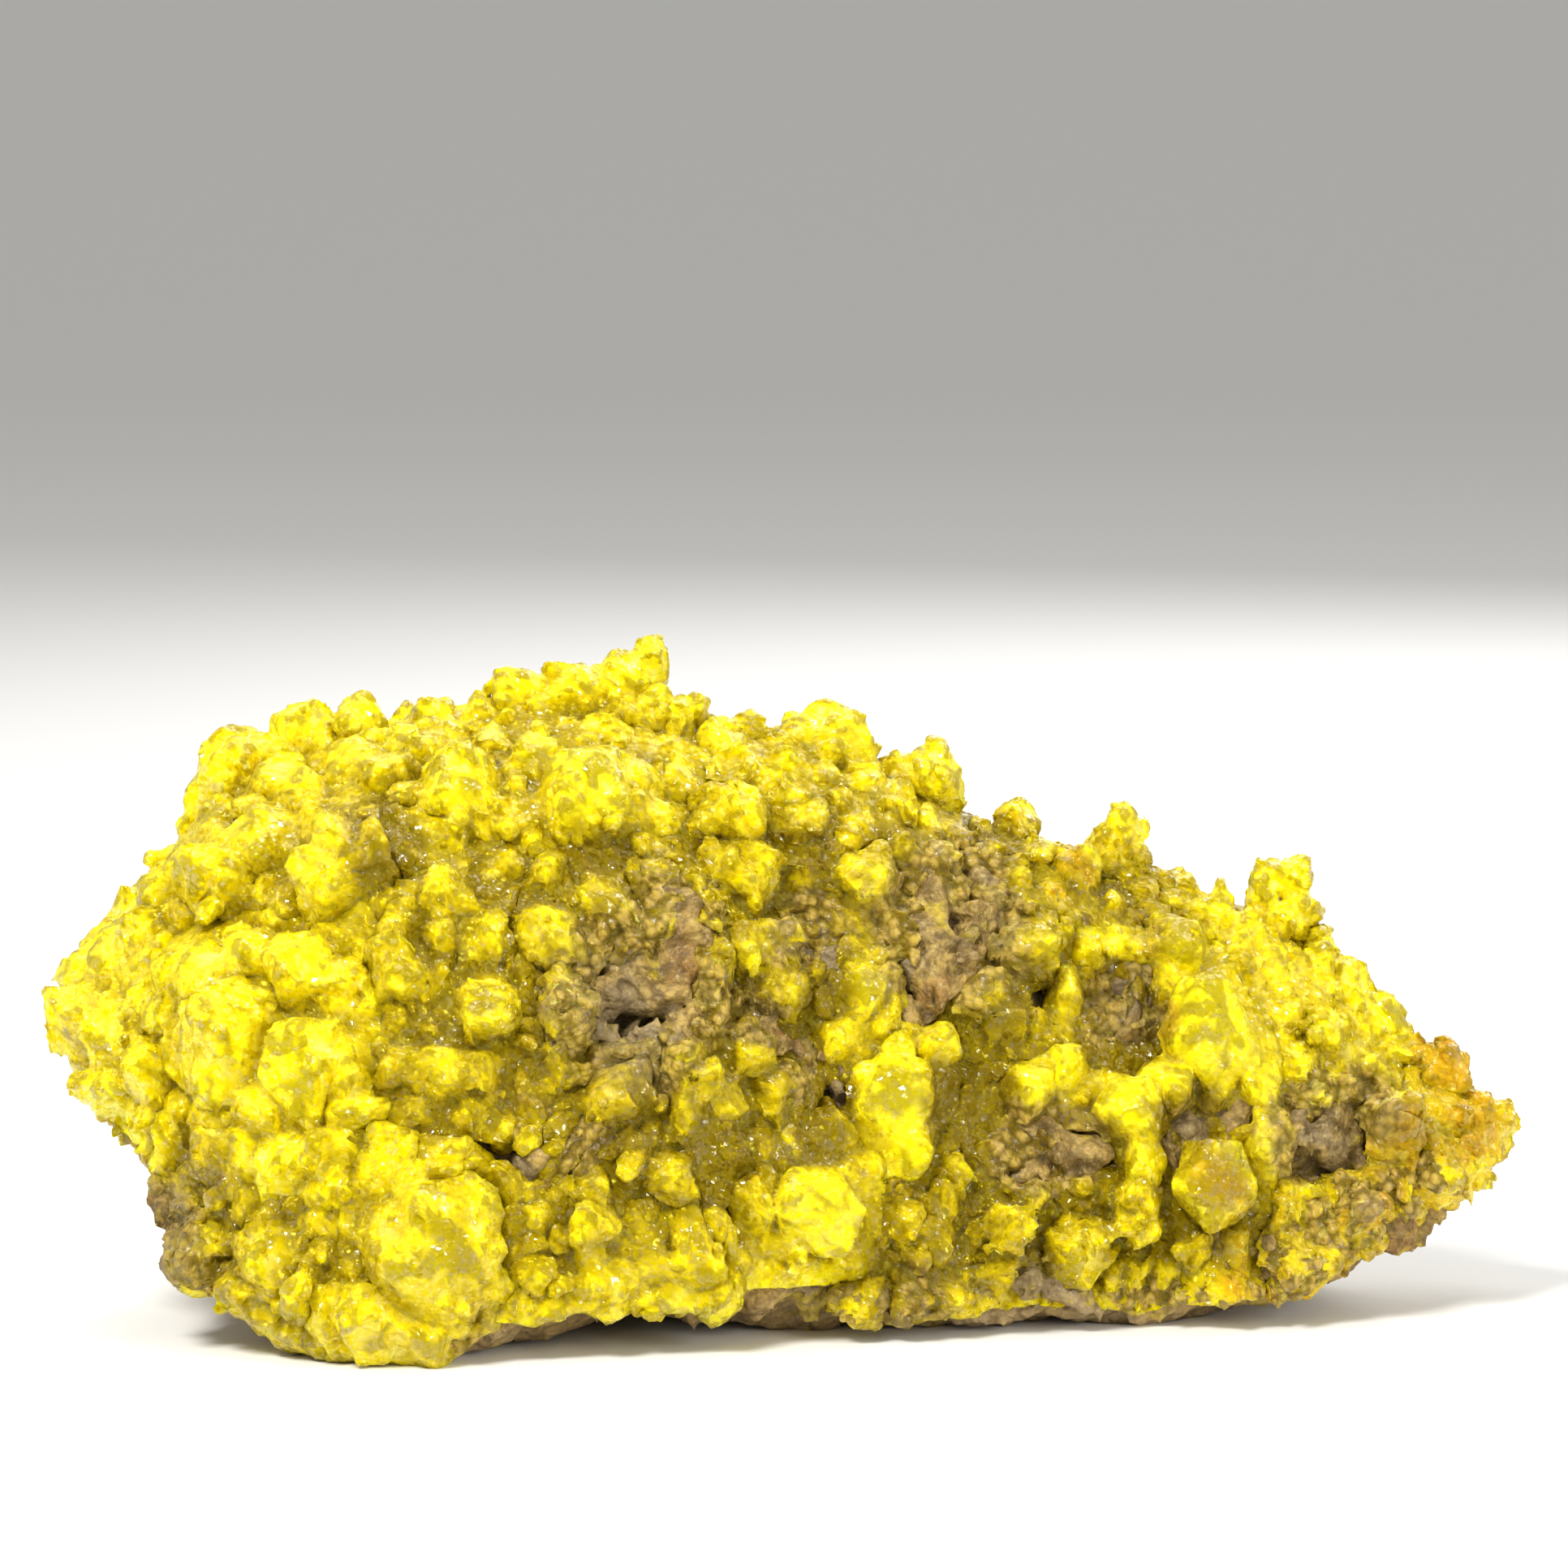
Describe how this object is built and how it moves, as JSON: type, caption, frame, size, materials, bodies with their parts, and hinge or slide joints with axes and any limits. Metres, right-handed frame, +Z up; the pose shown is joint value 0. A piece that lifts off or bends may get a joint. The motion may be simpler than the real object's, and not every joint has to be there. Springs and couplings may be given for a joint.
{
  "type": "native sulfur crystal specimen",
  "caption": "Native sulfur specimen: crusts and blocky crystals of lemon-yellow sulfur over the front and crest of a brown rock matrix that stands on its own flat foot.",
  "frame": {"origin": "under the middle of the specimen's overall box, on the plane of the rock's flat foot", "axes": "+X along the specimen to the right of the show face, +Y to the back, +Z up; the show face looks towards -Y"},
  "size_m": [0.1412, 0.0652, 0.0653],
  "materials": {
    "matrix_rock": "rough, granular broken rock",
    "lower_left_disc": "waxy to resinous, translucent sulfur",
    "lower_left_corner_crust": "waxy to resinous, translucent sulfur",
    "left_lobe": "waxy to resinous, translucent sulfur",
    "left_mass": "waxy to resinous, translucent sulfur",
    "upper_left_blocks": "waxy to resinous, translucent sulfur",
    "crown": "waxy to resinous, translucent sulfur",
    "shoulder": "waxy to resinous, translucent sulfur",
    "centre_crust": "waxy to resinous, translucent sulfur",
    "centre_ledge": "waxy to resinous, translucent sulfur",
    "centre_left_crust": "waxy to resinous, translucent sulfur",
    "centre_blades": "waxy to resinous, translucent sulfur",
    "knob_column": "waxy to resinous, translucent sulfur",
    "lantern_crystal": "waxy to resinous, translucent sulfur",
    "front_block": "waxy to resinous, translucent sulfur",
    "front_row": "waxy to resinous, translucent sulfur",
    "middle_knobs": "waxy to resinous, translucent sulfur",
    "ridge": "waxy to resinous, translucent sulfur",
    "arch_druse": "waxy to resinous, translucent sulfur",
    "arch": "waxy to resinous, translucent sulfur",
    "lower_centre_crust": "waxy to resinous, translucent sulfur",
    "lower_front_crystals": "waxy to resinous, translucent sulfur",
    "right_slope": "waxy to resinous, translucent sulfur",
    "right_tip": "waxy to resinous, translucent sulfur",
    "lower_right_crust": "waxy to resinous, translucent sulfur"
  },
  "bodies": {
    "root": {"matrix_rock": "matrix_rock", "lower_left_disc": "lower_left_disc", "lower_left_corner_crust": "lower_left_corner_crust", "left_lobe": "left_lobe", "left_mass": "left_mass", "upper_left_blocks": "upper_left_blocks", "crown": "crown", "shoulder": "shoulder", "centre_crust": "centre_crust", "centre_ledge": "centre_ledge", "centre_left_crust": "centre_left_crust", "centre_blades": "centre_blades", "knob_column": "knob_column", "lantern_crystal": "lantern_crystal", "front_block": "front_block", "front_row": "front_row", "middle_knobs": "middle_knobs", "ridge": "ridge", "arch_druse": "arch_druse", "arch": "arch", "lower_centre_crust": "lower_centre_crust", "lower_front_crystals": "lower_front_crystals", "right_slope": "right_slope", "right_tip": "right_tip", "lower_right_crust": "lower_right_crust"}
  },
  "joints": []
}
